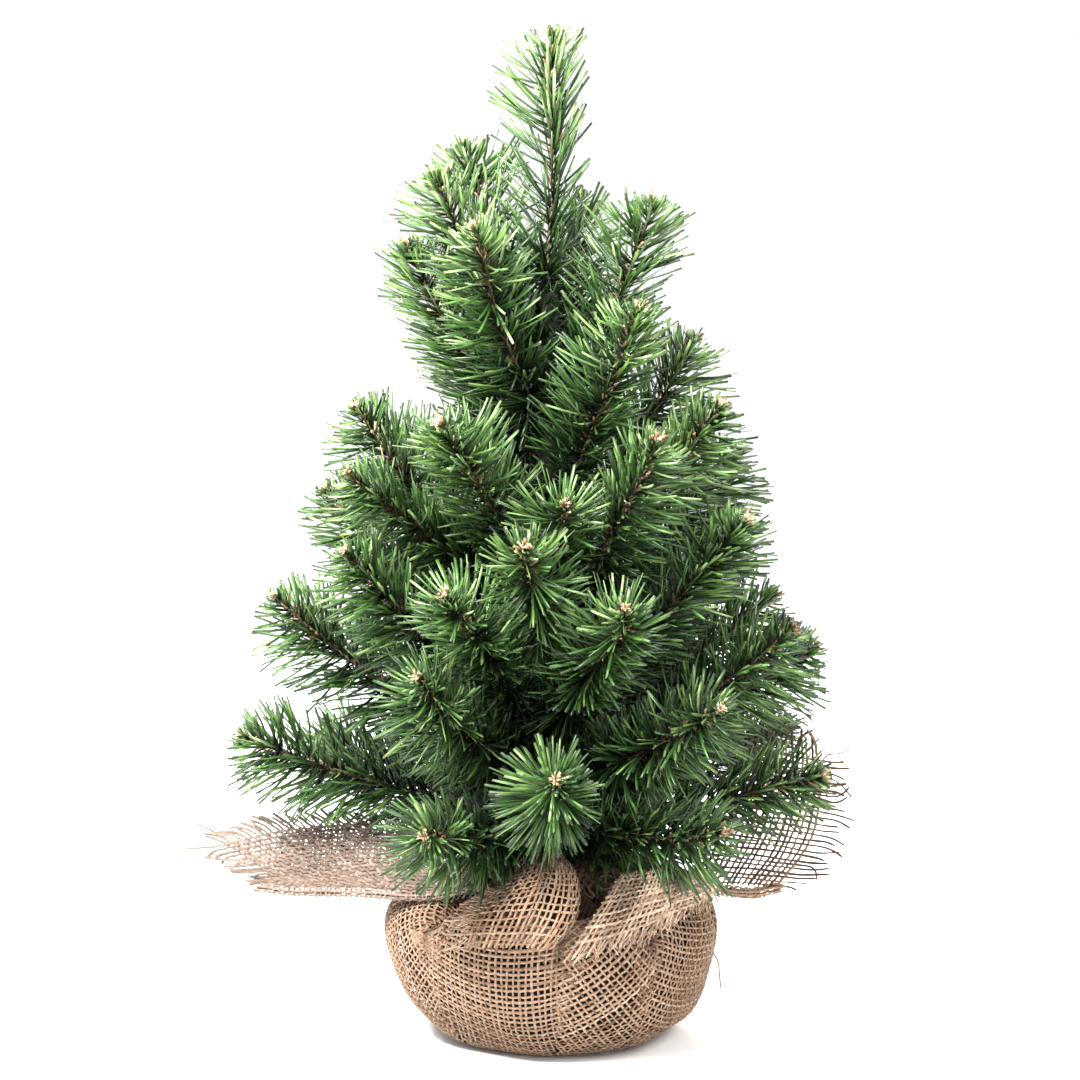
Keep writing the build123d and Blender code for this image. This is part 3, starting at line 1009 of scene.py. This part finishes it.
def stray_threads():
    """Loose threads that have pulled out of the edges."""
    dice = np.random.default_rng(46)
    bundle = Bundle()
    strays = [
        [(124, 36, 118), (127, 33, 121), (131, 32, 121.5), (136, 30, 124)],
        [(73, -10, 40), (75.5, -12, 36), (76.3, -12, 29), (77, -12, 23)],
        [(-148, 8, 90), (-154, 8, 93), (-158, 7, 95)],
    ]
    for points in strays:
        line, _ = smooth_curve(points, 14)
        normals = np.tile([0.0, -1.0, 0.0], (len(line), 1))
        thread(bundle, dice, line, normals, 0.7, 0.45)
    return burlap_piece("burlap_stray_threads", bundle)


def burlap_wrap():
    """The square of burlap, in its pieces."""
    threads = Bundle()
    bag_threads(threads, np.random.default_rng(31), 0, WEFT_WIDTH)
    bag_threads(threads, np.random.default_rng(32), 1, WARP_WIDTH)
    bag = burlap_piece("burlap_bag", threads)
    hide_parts("burlap_wrap")
    strays = stray_threads()
    makers = [left_corner, right_corner, back_corner, front_lobe, collar, ruffle, tucked_cloth]
    made = [make() for make in makers]


burlap_wrap()


# ---------------------------------------------------------------- CAD pieces that keep their shape
def dress(name, made):
    """A CAD piece shown as it is, in a material."""
    piece = frame["nodes"][name]
    piece.data.materials.clear()
    piece.data.materials.append(made)


dress("inner_pot", material("black plastic", pot_nodes))
dress("ballast_block", material("cast cement", cement_nodes))
dress("trunk_rod", material("drawn steel", steel_nodes))
dress("branch_tails", wire_metal)
dress("trunk_tape", material("wound tape", tape_nodes))
dress("neck_tie", material("jute twine", twine_nodes))


# ---------------------------------------------------------------- studio
def studio():
    """A white floor, soft light from the upper left and a long lens."""
    mesh = bpy.data.meshes.new("floor")
    size = 12
    corners = [(-size, -size, 0), (size, -size, 0), (size, size, 0), (-size, size, 0)]
    mesh.from_pydata(corners, [], [(0, 1, 2, 3)])
    floor = bpy.data.objects.new("floor", mesh)
    mesh.materials.append(material("studio floor", floor_nodes))
    bpy.context.scene.collection.objects.link(floor)

    world = bpy.data.worlds.new("studio")
    world.use_nodes = True
    world.node_tree.nodes["Background"].inputs["Color"].default_value = (1.0, 1.0, 1.0, 1)
    world.node_tree.nodes["Background"].inputs["Strength"].default_value = 1.05
    bpy.context.scene.world = world
    bpy.context.scene.view_settings.view_transform = "Standard"

    lamps = [
        ("key", (-0.42, -0.50, 0.92), 0.35, 50, (1.0, 0.995, 0.985)),
        ("fill", (0.80, -0.60, 0.90), 0.5, 12, (1.0, 0.97, 0.92)),
        ("rim", (0.05, 0.65, 0.95), 0.5, 18, (0.94, 0.98, 1.0)),
    ]
    for name, place, size, power, colour in lamps:
        lamp = bpy.data.lights.new(name, "AREA")
        lamp.size = size
        lamp.energy = power
        lamp.color = colour
        made = bpy.data.objects.new(name, lamp)
        made.location = place
        made.rotation_euler = (Vector((0, 0, 0.2)) - Vector(place)).to_track_quat("-Z", "Y").to_euler()
        bpy.context.scene.collection.objects.link(made)

    camera = bpy.data.cameras.new("camera")
    camera.sensor_width = 36
    camera.lens = 36 * CAMERA_DISTANCE / PICTURE_SPAN
    camera.clip_end = 20
    view = bpy.data.objects.new("camera", camera)
    angle = math.radians(CAMERA_ELEVATION)
    back = Vector((0, -math.cos(angle), math.sin(angle)))
    view.location = (Vector(PICTURE_MIDDLE) + back * CAMERA_DISTANCE) * MM
    view.rotation_euler = (-back).to_track_quat("-Z", "Y").to_euler()
    bpy.context.scene.collection.objects.link(view)
    bpy.context.scene.camera = view


studio()
